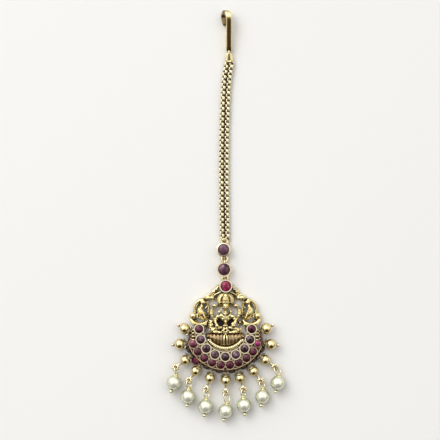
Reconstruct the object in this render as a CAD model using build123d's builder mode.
"""Maang tikka: a forehead jewel on a double chain with a hair hook, in millimetres.

The back of the pendant lies on z = 0 and the crescent is struck about the origin.
+Y runs up the chain to the hair hook, +Z is the side that shows.
"""
from build123d import *
from collections import namedtuple
from math import asin, atan2, cos, pi, radians, sin, tan
import os

# ------------------------------------------------------------------ driving dimensions
gap = 0.06                  # running gap left round stones and threaded wires

# crescent of two decks and a sloping skirt
crescent_inner = 7.55
crescent_outer = 14.0
horn_angle = 99.0           # counted from straight down
shoulder_angle = 72.0       # where the full width starts to narrow
crescent_waist = 11.65
waist_angle = 84.0
outer_deck = 3.1
inner_deck = 3.8
inner_deck_edge = 11.0
skirt_outer = 15.0
skirt_angle = 66.0

# rows of stones: circle radius, spacing, number, stone, cup wall, rim height, seat height
Row = namedtuple("Row", "circle step count stone cup rim seat")
inner_row = Row(circle=9.3, step=23.2, count=9, stone=1.45, cup=1.85, rim=4.6, seat=3.6)
outer_row = Row(circle=12.5, step=14.9, count=10, stone=1.3, cup=1.62, rim=3.9, seat=2.9)
side_angles = (-62, -44.5, -27, -9, 9, 27, 44.5, 62)
side_circle = 14.4
side_height = 1.6
side_tilt = 65.0
side_stone = 0.85
side_cup = 1.15
side_depth = 0.7

# pegs: where each ball sits, and which way its peg points
Peg = namedtuple("Peg", "ball_circle ball_angle points_to ball")
pegs = (
    Peg(14.5, -92.0, -118.0, 1.8),
    Peg(16.92, -72.8, -83.0, 1.8),
    Peg(17.8, -53.2, -53.2, 1.65),
    Peg(17.9, -36.0, -36.0, 1.65),
    Peg(17.9, -18.0, -18.0, 1.65),
    Peg(17.8, 0.3, 0.3, 1.65),
    Peg(17.8, 17.0, 17.0, 1.65),
    Peg(17.7, 34.4, 34.4, 1.65),
    Peg(17.7, 53.2, 53.2, 1.65),
    Peg(16.97, 72.5, 83.0, 1.8),
    Peg(14.6, 92.0, 118.0, 1.8),
)
drop_angle = 60.0           # pegs that point further out than this carry no drop
thread_z = 2.5              # height of every peg, ball, flower ring and pearl
peg_radius = 0.33
peg_reach = 0.95            # of a peg past its ball
peg_root = 3.6              # of a peg inward from its ball's surface
head_radius = 0.52
cap_mouth = 2.05
cap_depth = 1.2
cap_overlap = 0.5           # how deep a ball sits in its cap
cap_wall = 0.28
petals = 5

# flower rings
flower_circle = 22.0
flower_radius = 0.85
flower_wire = 0.3
granules = 8
granule = 0.36
flower_tilt = 25.0
collar_radius = 0.55

# drops: pearl centre, lean of its pin, half width and tilt of the eye the pin hangs by
Drop = namedtuple("Drop", "x y lean eye_half_width eye_tilt")
drops = (
    Drop(-18.2, -18.6, 18.0, 0.92, 60.0),
    Drop(-13.2, -23.5, 6.0, 1.0, 35.0),
    Drop(-7.0, -27.0, 7.0, 1.0, 35.0),
    Drop(0.1, -28.6, 12.0, 1.15, 35.0),
    Drop(6.6, -26.55, -4.4, 0.95, 35.0),
    Drop(13.1, -23.5, 6.7, 1.0, 35.0),
    Drop(18.5, -18.7, 11.6, 1.1, 40.0),
)
pearl_radius = 2.5
pin_wire = 0.26
pin_head = 0.62
wrap_radius = 0.55
wrap_length = 0.6

# large cups: centre, outside, stone
Cup = namedtuple("Cup", "x y outside stone")
link_cups = {"upper": Cup(-0.65, 28.4, 2.42, 1.8), "lower": Cup(-0.45, 21.4, 2.5, 1.85)}
top_cup = Cup(0.15, 15.6, 2.28, 1.72)
cup_base = 1.5
cup_rim = 3.2
cup_floor = 0.45
cup_lean = (0.35, 0.25)     # the base stands this far off the rim's centre
top_rim = 4.1
stone_rise = 0.45           # a large stone's dome above its cup's rim

# rings and eyes along the chain's end, all lying at one height
ring_z = 1.0
link_ring = 1.05
link_ring_wire = 0.4
end_ring = 1.2
end_ring_wire = 0.42
eye_ring = 0.77
eye_wire = 0.23
end_ring_at = (-0.35, 31.0)
upper_ring_at = (-0.3, 25.0)
lower_ring_at = (-0.15, 18.35)

# chain: one route for the pair, a strand on each side of it
strand_radius = 0.88
strand_spacing = 1.84
chain_route = (
    (1.25, 94.3), (0.57, 89.5), (0.0, 81.5), (-0.46, 65.5), (-0.46, 49.0), (-0.18, 32.8),
)

# hair hook and its ring
hook_wire = 1.03
hook_start = (1.27, 99.3, 1.42)
hook_bend = (1.27, 110.65, 3.6)
hook_return = (-0.2, 110.95, 1.5)
hook_tip_y = 108.5
hook_eye = 0.98
hook_eye_wire = 0.26
hook_eye_at = (1.27, 98.4, 1.42)
hook_ring_wire = 0.5
hook_ring_bend = 0.54
hook_ring_corners = ((0.55, 98.45, 1.42), (1.99, 98.45, 1.42), (2.4, 95.15, 1.1), (0.35, 95.15, 1.1))

upright = (Align.CENTER, Align.CENTER, Align.MIN)
os.makedirs("parts", exist_ok=True)


# ------------------------------------------------------------------ helpers
def on_circle(radius, degrees, height=0.0):
    """Point on a circle about the origin, its angle counted from straight down."""
    angle = radians(degrees)
    return Vector(radius * sin(angle), -radius * cos(angle), height)


def arc_bar(start, middle, end, radius):
    """Round bar along an arc through three points, added to the open part."""
    with BuildLine(mode=Mode.PRIVATE) as arc:
        ThreePointArc(start, middle, end)
    with BuildSketch(Plane(arc.line @ 0, z_dir=arc.line % 0), mode=Mode.PRIVATE) as section:
        Circle(radius)
    sweep(sections=section.sketch, path=arc.line)


def band(width, *points):
    """Band of one width with round ends from point to point, in the open sketch."""
    for a, b in zip(points, points[1:]):
        run = Vector(b) - Vector(a)
        with Locations(Location((Vector(a) + Vector(b)) / 2, atan2(run.Y, run.X) * 180 / pi)):
            SlotCenterToCenter(run.length, width)


def bow(width, *points):
    """Band of one width along the arc through three points, in the open sketch."""
    with BuildLine(mode=Mode.PRIVATE) as arc:
        ThreePointArc(*points)
    SlotArc(arc.edges()[0], width)


def row_places(row, height):
    """Places of a row's stones, spread evenly about straight down."""
    first = -row.step * (row.count - 1) / 2
    return [on_circle(row.circle, first + row.step * i, height) for i in range(row.count)]


def stone_profile(radius, depth, dome):
    """Half section of a round stone in the open sketch: flat back, straight girdle, domed top."""
    with BuildLine() as half:
        Polyline((0, dome), (0, -depth), (radius * 0.8, -depth), (radius, -depth * 0.4), (radius, 0))
        ball = (radius**2 + dome**2) / (2 * dome)
        half_way = asin(radius / ball) / 2
        ThreePointArc((radius, 0), (ball * sin(half_way), dome - ball + ball * cos(half_way)), (0, dome))
    make_face(half.edges())


def save(part, label):
    """Label a finished piece and write it."""
    part.label = label
    export_step(part, f"parts/{label}.step")


# ------------------------------------------------------------------ hair hook
with BuildPart() as hair_hook:
    with BuildLine() as hook_path:
        long_leg = Line(hook_start, hook_bend)
        bend = TangentArc(long_leg @ 1, hook_return, tangent=long_leg % 1)
        short_run = ((bend @ 1).Y - hook_tip_y) / abs((bend % 1).Y)
        short_leg = Line(bend @ 1, (bend @ 1) + (bend % 1) * short_run)
    with BuildSketch(Plane(long_leg @ 0, z_dir=long_leg % 0)):
        Circle(hook_wire)
    sweep(path=hook_path.wires()[0])
    with Locations(short_leg @ 1):
        Sphere(hook_wire * 1.001)
    with Locations(Plane(hook_eye_at, z_dir=(1, 0, 0)).location):
        Torus(hook_eye, hook_eye_wire)
hair_hook.part.label = "hair_hook"
export_step(hair_hook.part, "parts/hair_hook.step")

with BuildPart() as hook_ring:
    with BuildLine() as ring_path:
        FilletPolyline(*hook_ring_corners, radius=hook_ring_bend, close=True)
    ring_wire = ring_path.wires()[0]
    with BuildSketch(Plane(ring_wire @ 0, z_dir=ring_wire % 0)):
        Circle(hook_ring_wire)
    sweep(path=ring_wire)
hook_ring.part.label = "hook_ring"
export_step(hook_ring.part, "parts/hook_ring.step")

# ------------------------------------------------------------------ chain
for side, name in ((-1, "chain_left"), (1, "chain_right")):
    route = [(x + side * strand_spacing / 2, y, strand_radius) for x, y in chain_route]
    runs = [Vector(b) - Vector(a) for a, b in zip(route, route[1:])]
    bends = [
        0.45 * min(a.length, b.length) / tan(radians(a.get_angle(b) / 2))
        for a, b in zip(runs, runs[1:])
    ]
    print(name, "bend radii", [round(r) for r in bends])
    with BuildPart() as chain_strand:
        with BuildLine() as strand_path:
            FilletPolyline(*route, radius=bends)
        strand_wire = strand_path.wires()[0]
        with BuildSketch(Plane(strand_wire @ 0, z_dir=strand_wire % 0)):
            Circle(strand_radius)
        sweep(path=strand_wire)
    section = pi * strand_radius**2
    filled = chain_strand.part.volume / section / strand_wire.length
    print(name, "volume over section times length", round(filled, 4))
    save(chain_strand.part, name)

# ------------------------------------------------------------------ rings and stone links
for name, (x, y), ring, wire in (
    ("chain_end_ring", end_ring_at, end_ring, end_ring_wire),
    ("link_ring_upper", upper_ring_at, link_ring, link_ring_wire),
    ("link_ring_lower", lower_ring_at, link_ring, link_ring_wire),
):
    with BuildPart(Plane((x, y, ring_z))) as jump_ring:
        Torus(ring, wire)
    save(jump_ring.part, name)

link_eyes = {
    "upper": ((end_ring_at[0], end_ring_at[1] - end_ring), (upper_ring_at[0], upper_ring_at[1] + link_ring)),
    "lower": ((upper_ring_at[0], upper_ring_at[1] - link_ring), (lower_ring_at[0], lower_ring_at[1] + link_ring)),
}
for name, cup in link_cups.items():
    with BuildPart() as stone_link:
        with BuildSketch(Plane((cup.x + cup_lean[0], cup.y + cup_lean[1], cup_base))):
            Circle(cup.outside)
        with BuildSketch(Plane((cup.x, cup.y, cup_rim))):
            Circle(cup.outside)
        loft()
        with Locations((cup.x, cup.y, cup_base + cup_floor)):
            Cylinder(cup.stone + gap, cup_rim, align=upright, mode=Mode.SUBTRACT)
        for x, y in link_eyes[name]:
            with Locations(Plane((x, y, ring_z), z_dir=(1, 0, 0)).location):
                Torus(eye_ring, eye_wire)
        with Locations((cup.x, cup.y, cup_base + cup_floor)):
            Cylinder(cup.stone + gap, cup_rim, align=upright, mode=Mode.SUBTRACT)
    save(stone_link.part, f"stone_link_{name}")

stones = [(f"stone_{name}", cup, cup_base + cup_floor, cup_rim) for name, cup in link_cups.items()]
stones.append(("stone_top", top_cup, top_rim - cup_rim + cup_base + cup_floor, top_rim))
for name, cup, seat, rim in stones:
    with BuildPart() as large_stone:
        with BuildSketch(Plane((cup.x, cup.y, rim), x_dir=(1, 0, 0), z_dir=(0, -1, 0))):
            stone_profile(cup.stone, rim - seat - gap, stone_rise)
        revolve(axis=Axis((cup.x, cup.y, 0), (0, 0, 1)))
    save(large_stone.part, name)

# ------------------------------------------------------------------ pendant frame
panel = 1.4                 # thickness of the pierced back of the openwork
rail_width = 1.4
curl_height = 2.2
bird_height = 3.0


def peg_line(peg):
    """Ball centre and direction of a peg."""
    return on_circle(peg.ball_circle, peg.ball_angle, thread_z), on_circle(1, peg.points_to)


def side_cup_plane(degrees):
    """Plane of a side stone: its back on the skirt, facing out and a little up."""
    facing = on_circle(sin(radians(side_tilt)), degrees, cos(radians(side_tilt)))
    return Plane(on_circle(side_circle, degrees, side_height), z_dir=facing)


with BuildPart() as crescent:
    with BuildSketch():
        with BuildLine():
            shoulder = [on_circle(crescent_outer, a) for a in (-shoulder_angle, shoulder_angle)]
            waist = [on_circle(crescent_waist, a) for a in (-waist_angle, waist_angle)]
            tip = [on_circle(inner_deck_edge + 0.1, a) for a in (-horn_angle, horn_angle)]
            root = [on_circle(crescent_inner, a) for a in (-horn_angle, horn_angle)]
            ThreePointArc(shoulder[0], (0, -crescent_outer), shoulder[1])
            ThreePointArc(shoulder[1], waist[1], tip[1])
            Line(tip[1], root[1])
            ThreePointArc(root[1], (0, -crescent_inner), root[0])
            Line(root[0], tip[0])
            ThreePointArc(tip[0], waist[0], shoulder[0])
        make_face()
    extrude(amount=outer_deck)
    with BuildSketch():
        with BuildLine():
            edge = [on_circle(inner_deck_edge, a) for a in (-horn_angle, horn_angle)]
            ThreePointArc(edge[0], (0, -inner_deck_edge), edge[1])
            Line(edge[1], root[1])
            ThreePointArc(root[1], (0, -crescent_inner), root[0])
            Line(root[0], edge[0])
        make_face()
    extrude(amount=inner_deck)
    with BuildSketch(Plane((0, 0, 0), x_dir=on_circle(1, -skirt_angle), z_dir=-on_circle(1, 90 - skirt_angle))):
        Polygon((12.5, 0), (skirt_outer, 0), (skirt_outer, 0.7), (13.6, 2.9), (12.5, 2.9), align=None)
    revolve(axis=Axis.Z, revolution_arc=2 * skirt_angle)
    for row in (inner_row, outer_row):
        with Locations(*row_places(row, 2.0)):
            Cylinder(row.cup, row.rim - 2.0, align=upright)
    with Locations(*[side_cup_plane(a).offset(-1.2).location for a in side_angles]):
        Cylinder(side_cup, 1.2 + side_depth, align=upright)
    for peg in pegs:
        ball, direction = peg_line(peg)
        with Locations(Plane(ball - direction * (peg.ball + peg_root), z_dir=direction).location):
            Cylinder(peg_radius, 2 * peg.ball + peg_root + peg_reach, align=upright)
    for row in (inner_row, outer_row):
        with Locations(*row_places(row, row.seat)):
            Cylinder(row.stone + gap, row.rim, align=upright, mode=Mode.SUBTRACT)
    with Locations(*[side_cup_plane(a).location for a in side_angles]):
        Cylinder(side_stone + gap, 2 * side_depth, align=upright, mode=Mode.SUBTRACT)
    for peg in pegs:
        if abs(peg.points_to) > drop_angle:
            ball, direction = peg_line(peg)
            with Locations(ball + direction * (peg.ball + peg_reach)):
                Sphere(head_radius)

with BuildPart() as pendant_frame:
    add(crescent.part)
    # lotus seat, its foot carried down to the crescent
    with BuildSketch():
        with BuildLine():
            ThreePointArc((-6.5, -1.5), (0, -5.7), (6.5, -1.5))
            ThreePointArc((6.5, -1.5), (0, -0.7), (-6.5, -1.5))
        make_face()
    extrude(amount=2.9)
    with BuildSketch():
        with BuildLine():
            ThreePointArc((-7.0, -3.2), (0, -7.7), (7.0, -3.2))
            Line((7.0, -3.2), (-7.0, -3.2))
        make_face()
    extrude(amount=panel)
    arc_bar((-5.9, -4.7, 2.2), (0, -6.4, 2.2), (5.9, -4.7, 2.2), 0.55)
    # body, neck, head, crown and halo
    with BuildSketch():
        Polygon((-3.1, 5.1), (-3.1, 4.0), (-1.5, 2.3), (-2.2, -1.2), (2.2, -1.2), (1.5, 2.3), (3.1, 4.0),
                (3.1, 5.1), (1.2, 6.0), (-1.2, 6.0), align=None)
    extrude(amount=2.9)
    with BuildSketch():
        with Locations((0.1, 10.2)):
            Circle(3.05)
    extrude(amount=panel)
    with BuildSketch():
        with Locations((0.1, 7.0)):
            Rectangle(2.0, 3.4)
    extrude(amount=2.6)
    with Locations((0.1, 8.9, 2.5)):
        Sphere(1.6)
    with Locations(Plane((0.1, 9.4, 2.2), z_dir=(0, 1, 0)).location):
        Cone(1.45, 0.75, 3.6, align=upright)
    with Locations((0.1, 0.3, 2.3)):
        Cylinder(1.3, 1.2, align=upright)
    # crossed legs, knee to knee, with the sides of the panel
    with BuildSketch():
        SlotOverall(11.4, 2.5)
    extrude(amount=3.05)
    # arch, birds and arms in three steps of relief, worked on the left and mirrored
    with BuildSketch():
        band(rail_width, (-10.2, 1.2), (-11.2, 4.4), (-9.6, 8.6), (-6.9, 11.2), (-3.6, 13.6))
        band(1.3, (-9.4, 0.9), (-6.2, 1.5), (-4.2, 1.0))
        band(1.2, (-4.0, 13.2), (-1.2, 15.0))
        mirror(about=Plane.YZ)
    extrude(amount=panel)
    with BuildSketch():
        bow(1.3, (-11.9, 4.2), (-9.2, 1.9), (-6.4, 3.3))
        band(1.1, (-2.4, 4.6), (-4.7, 3.9), (-5.1, 7.0), (-3.9, 8.7), (-2.2, 9.1))
        band(0.9, (-4.8, 6.0), (-8.0, 6.5))
        with Locations((-4.3, 13.1), (-3.2, 14.1)):
            Circle(0.66)
        mirror(about=Plane.YZ)
    extrude(amount=curl_height)
    with BuildSketch():
        bow(1.2, (-10.9, 6.0), (-10.1, 9.3), (-7.1, 10.3))
        band(2.4, (-9.0, 7.8), (-7.1, 4.0))
        band(1.8, (-6.6, 10.9), (-4.7, 12.0))
        band(1.1, (-2.6, 4.4), (-3.9, 2.5), (-2.0, 0.8))
        with Locations((-11.4, 5.0)):
            Circle(1.25)
        with Locations((-7.25, 10.2)):
            Circle(0.9)
        with Locations((-5.05, 6.6), (-4.1, 8.3)):
            Circle(0.85)
        mirror(about=Plane.YZ)
    extrude(amount=bird_height)
    # neck block and the top cup with its eye
    with BuildSketch():
        with Locations((0.1, 14.4)):
            Rectangle(3.0, 3.4)
    extrude(amount=1.9)
    with Locations((top_cup.x, top_cup.y, cup_base)):
        Cylinder(top_cup.outside, top_rim - cup_base, align=upright)
    with Locations(Plane((lower_ring_at[0], lower_ring_at[1] - link_ring, ring_z), z_dir=(1, 0, 0)).location):
        Torus(eye_ring, eye_wire)
    with Locations((top_cup.x, top_cup.y, top_rim - cup_rim + cup_base + cup_floor)):
        Cylinder(top_cup.stone + gap, cup_rim, align=upright, mode=Mode.SUBTRACT)
pendant_frame.part.label = "pendant_frame"
export_step(pendant_frame.part, "parts/pendant_frame.step")

# ------------------------------------------------------------------ crescent stones
for name, row in (("inner_row_stones", inner_row), ("outer_row_stones", outer_row)):
    with BuildPart() as single_stone:
        with BuildSketch(Plane.XZ):
            stone_profile(row.stone, row.rim - row.seat - gap, 0.35)
        revolve(axis=Axis.Z)
    with BuildPart() as stone_row:
        with Locations(*row_places(row, row.rim)):
            add(single_stone.part)
    save(stone_row.part, name)

with BuildPart() as side_stone_blank:
    with BuildSketch(Plane.XZ):
        stone_profile(side_stone, side_depth - gap, 0.3)
    revolve(axis=Axis.Z)
with BuildPart() as side_row_stones:
    with Locations(*[side_cup_plane(a).offset(side_depth).location for a in side_angles]):
        add(side_stone_blank.part)
side_row_stones.part.label = "side_row_stones"
export_step(side_row_stones.part, "parts/side_row_stones.step")

# ------------------------------------------------------------------ caps and balls on the pegs
for number, peg in enumerate(pegs, start=1):
    ball, direction = peg_line(peg)
    mouth = ball - direction * (peg.ball - cap_overlap)
    with BuildPart(Plane(ball, z_dir=direction)) as gold_ball:
        Sphere(peg.ball)
        Cylinder(peg_radius + gap, 3 * peg.ball, mode=Mode.SUBTRACT)
    save(gold_ball.part, f"gold_ball_{number}")

    base = mouth - direction * cap_depth
    with BuildPart() as bead_cap:
        with BuildSketch(Plane(base, x_dir=(0, 0, 1), z_dir=Vector(0, 0, 1).cross(direction))):
            with BuildLine():
                ThreePointArc((peg_radius + gap, 0), (cap_mouth * 0.75, cap_depth * 0.3), (cap_mouth, cap_depth))
                Line((cap_mouth, cap_depth), (cap_mouth - cap_wall, cap_depth))
                ThreePointArc(
                    (cap_mouth - cap_wall, cap_depth),
                    (cap_mouth * 0.75 - cap_wall, cap_depth * 0.3 + cap_wall),
                    (peg_radius + gap, cap_wall),
                )
                Line((peg_radius + gap, cap_wall), (peg_radius + gap, 0))
            make_face()
        revolve(axis=Axis(base, direction))
        with Locations(Plane(mouth, x_dir=(0, 0, 1), z_dir=direction).location):
            with PolarLocations(cap_mouth, petals):
                Cylinder(0.55, cap_depth, mode=Mode.SUBTRACT)
    save(bead_cap.part, f"bead_cap_{number}")

# ------------------------------------------------------------------ flower rings, pearls and head pins
lower_pegs = [peg for peg in pegs if abs(peg.points_to) < drop_angle]
for number, (peg, drop) in enumerate(zip(lower_pegs, drops), start=1):
    ball, direction = peg_line(peg)
    across = Vector(0, 0, 1).cross(direction)
    tilt = radians(flower_tilt)
    centre = on_circle(flower_circle, peg.ball_angle, thread_z)
    facing = Vector(0, 0, 1) * cos(tilt) - across * sin(tilt)
    with BuildPart() as flower_ring:
        with Locations(Plane(centre, x_dir=direction, z_dir=facing).location):
            Torus(flower_radius, flower_wire)
            with PolarLocations(flower_radius + 0.12, granules, start_angle=22.5):
                Sphere(granule)
        collar_start = ball + direction * (peg.ball + 0.1)
        collar_length = (centre - collar_start).length - flower_radius
        with Locations(Plane(collar_start, z_dir=direction).location):
            Cylinder(collar_radius, collar_length, align=upright)
            Cylinder(peg_radius + gap, peg_reach, align=upright, mode=Mode.SUBTRACT)
    save(flower_ring.part, f"flower_ring_{number}")

    up = Vector(sin(radians(drop.lean)), cos(radians(drop.lean)), 0)
    pearl_centre = Vector(drop.x, drop.y, thread_z)
    with BuildPart(Plane(pearl_centre, z_dir=up)) as pearl:
        Sphere(pearl_radius)
        Cylinder(pin_wire + gap, 3 * pearl_radius, mode=Mode.SUBTRACT)
    save(pearl.part, f"pearl_{number}")

    wrap_start = pearl_centre + up * (pearl_radius + 0.05)
    wrap_end = wrap_start + up * wrap_length
    to_flower = (centre - wrap_end).normalized()
    half_width = drop.eye_half_width
    half_run = (centre - wrap_end).length / 2 - half_width
    tilt = radians(drop.eye_tilt)
    sideways = to_flower.cross(Vector(0, 0, 1))
    eye_facing = Vector(0, 0, 1) * cos(tilt) + sideways * sin(tilt)
    eye_plane = Plane((centre + wrap_end) * 0.5, x_dir=to_flower, z_dir=eye_facing)
    with BuildPart() as head_pin:
        pin_start = pearl_centre - up * (pearl_radius + pin_head + 0.03)
        with Locations(Plane(pin_start, z_dir=up).location):
            Cylinder(pin_wire, 2 * pearl_radius + pin_head + 0.3, align=upright)
            Sphere(pin_head)
        with Locations(Plane(wrap_start, z_dir=up).location):
            Cylinder(wrap_radius, wrap_length, align=upright)
        with BuildLine(eye_plane) as eye_path:
            Line((-half_run, half_width), (half_run, half_width))
            ThreePointArc((half_run, half_width), (half_run + half_width, 0), (half_run, -half_width))
            Line((half_run, -half_width), (-half_run, -half_width))
            ThreePointArc((-half_run, -half_width), (-half_run - half_width, 0), (-half_run, half_width))
        eye_wire_line = eye_path.wires()[0]
        with BuildSketch(Plane(eye_wire_line @ 0, z_dir=eye_wire_line % 0)):
            Circle(pin_wire)
        sweep(path=eye_wire_line)
    save(head_pin.part, f"head_pin_{number}")
